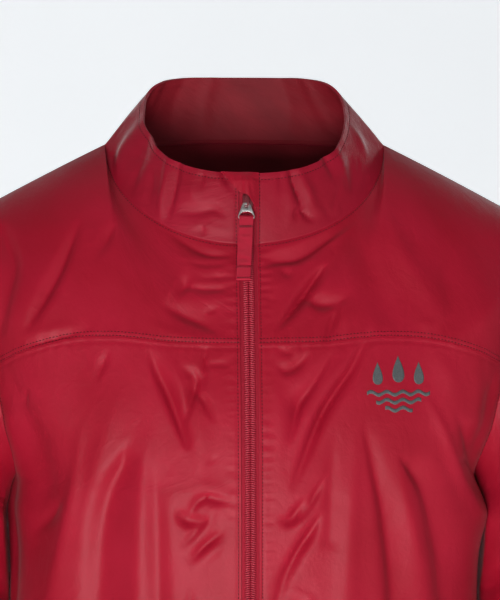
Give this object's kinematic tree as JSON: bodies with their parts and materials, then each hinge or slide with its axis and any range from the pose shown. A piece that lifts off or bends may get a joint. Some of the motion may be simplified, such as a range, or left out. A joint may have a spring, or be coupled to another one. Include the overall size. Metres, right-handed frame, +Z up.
{
  "type": "rain jacket",
  "caption": "Worn rain jacket, hollow: stand collar, front and shoulder yokes, full front zip with a flap over its top, plain set-in sleeves and hem; the zip's puller swings.",
  "frame": {"origin": "midway between the two neck points, where the shoulder seams meet the collar; the wearer's shoulders hold the garment up there", "axes": "+Z up, -Y the way the wearer faces, +X to the wearer's left"},
  "size_m": [0.6536, 0.2624, 0.7452],
  "materials": {
    "red_nylon": "satin nylon",
    "zip_cloth": "matt woven tape",
    "zip_coil": "semi-matt coil",
    "slider_enamel": "enamel",
    "bail_metal": "polished"
  },
  "bodies": {
    "jacket": {"back": "red_nylon", "collar": "red_nylon", "front_left": "red_nylon", "front_right": "red_nylon", "front_yoke_left": "red_nylon", "front_yoke_right": "red_nylon", "sleeve_left": "red_nylon", "sleeve_right": "red_nylon", "zip_box": "zip_coil", "zip_chain": "zip_coil", "zip_garage": "red_nylon", "zip_slider": "slider_enamel", "zip_tape_left": "zip_cloth", "zip_tape_right": "zip_cloth"},
    "puller": {"zip_bail": "bail_metal", "zip_pull_tape": "red_nylon"}
  },
  "joints": [
    {"name": "puller_swing", "type": "hinge", "parent": "jacket", "child": "puller", "pos_m": [-0.0012, -0.07823, -0.04648], "axis": [-1, 0, 0], "range_deg": [0, 100]}
  ]
}
